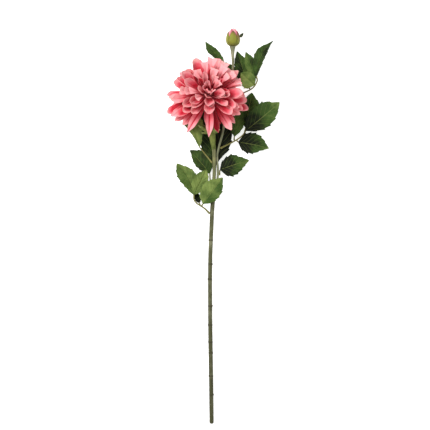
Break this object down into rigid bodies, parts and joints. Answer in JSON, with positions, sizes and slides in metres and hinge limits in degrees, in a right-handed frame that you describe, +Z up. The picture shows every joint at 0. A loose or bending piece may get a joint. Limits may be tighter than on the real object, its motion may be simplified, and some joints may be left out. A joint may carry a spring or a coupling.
{
  "type": "dahlia flower",
  "caption": "Cut dahlia stem lying down: a knotted stalk with an open bloom of cupped coral-pink petals, a closed bud on a side stalk and sprays of toothed leaves.",
  "frame": {"origin": "on the surface it lies on, under the middle of the spray's outline", "axes": "+Y along the stem from its cut end towards the bloom and the bud, +Z up from the surface, the way the bloom faces, +X to the right of the stem seen from above"},
  "size_m": [0.2009, 0.6984, 0.1051],
  "materials": {
    "stem": "rough olive-brown bark with darker rings at the knots",
    "stalk": "matt grey-green skin",
    "leaf_wire": "matt olive-tan wrapped wire",
    "calyx": "satin green with lengthwise ribs",
    "sepal": "pressed cloth, mid green",
    "petal": "pressed cloth, crimson at the root, coral to pale pink blade, cream edge",
    "petal_heart": "matt crimson core",
    "bud_sepal": "pressed cloth, yellow-green with a reddish blush",
    "bud_petal": "pressed cloth, coral pink",
    "leaf": "pressed cloth, dark green with a paler midrib and veins"
  },
  "bodies": {
    "root": {"bud_calyx": "bud_sepal", "bud_petals": "bud_petal", "bud_side_sepal": "sepal", "bud_stalk": "stalk", "calyx": "calyx", "flower_stalk": "stalk", "leaf_behind_left": "leaf", "leaf_behind_right": "leaf", "leaf_left_middle": "leaf", "leaf_left_upper": "leaf", "leaf_low_back": "leaf", "leaf_low_front": "leaf", "leaf_low_inner": "leaf", "leaf_low_outer": "leaf", "leaf_right_back": "leaf", "leaf_right_inner": "leaf", "leaf_right_large": "leaf", "leaf_right_lower": "leaf", "leaf_right_middle": "leaf", "leaf_top_back": "leaf", "leaf_top_far": "leaf", "leaf_top_inner": "leaf", "leaf_top_left": "leaf", "leaf_top_middle": "leaf", "leaf_top_right": "leaf", "main_stem": "stem", "petal_whorl_1": "petal", "petal_whorl_2": "petal", "petal_whorl_3": "petal", "petal_whorl_4": "petal", "petal_whorl_5": "petal", "petal_whorl_6": "petal", "petal_whorl_7": "petal", "petal_whorl_8": "petal", "receptacle": "petal_heart", "sepal_1": "sepal", "sepal_2": "sepal", "sepal_3": "sepal", "sepal_4": "sepal", "sepal_5": "sepal", "sepal_6": "sepal", "wire_behind": "leaf_wire", "wire_left_low": "leaf_wire", "wire_left_low_back": "leaf_wire", "wire_left_low_front": "leaf_wire", "wire_left_middle": "leaf_wire", "wire_left_upper": "leaf_wire", "wire_right": "leaf_wire", "wire_right_back": "leaf_wire", "wire_right_inner": "leaf_wire", "wire_right_lower": "leaf_wire", "wire_right_middle": "leaf_wire", "wire_top": "leaf_wire", "wire_top_back": "leaf_wire", "wire_top_left": "leaf_wire"}
  },
  "joints": []
}
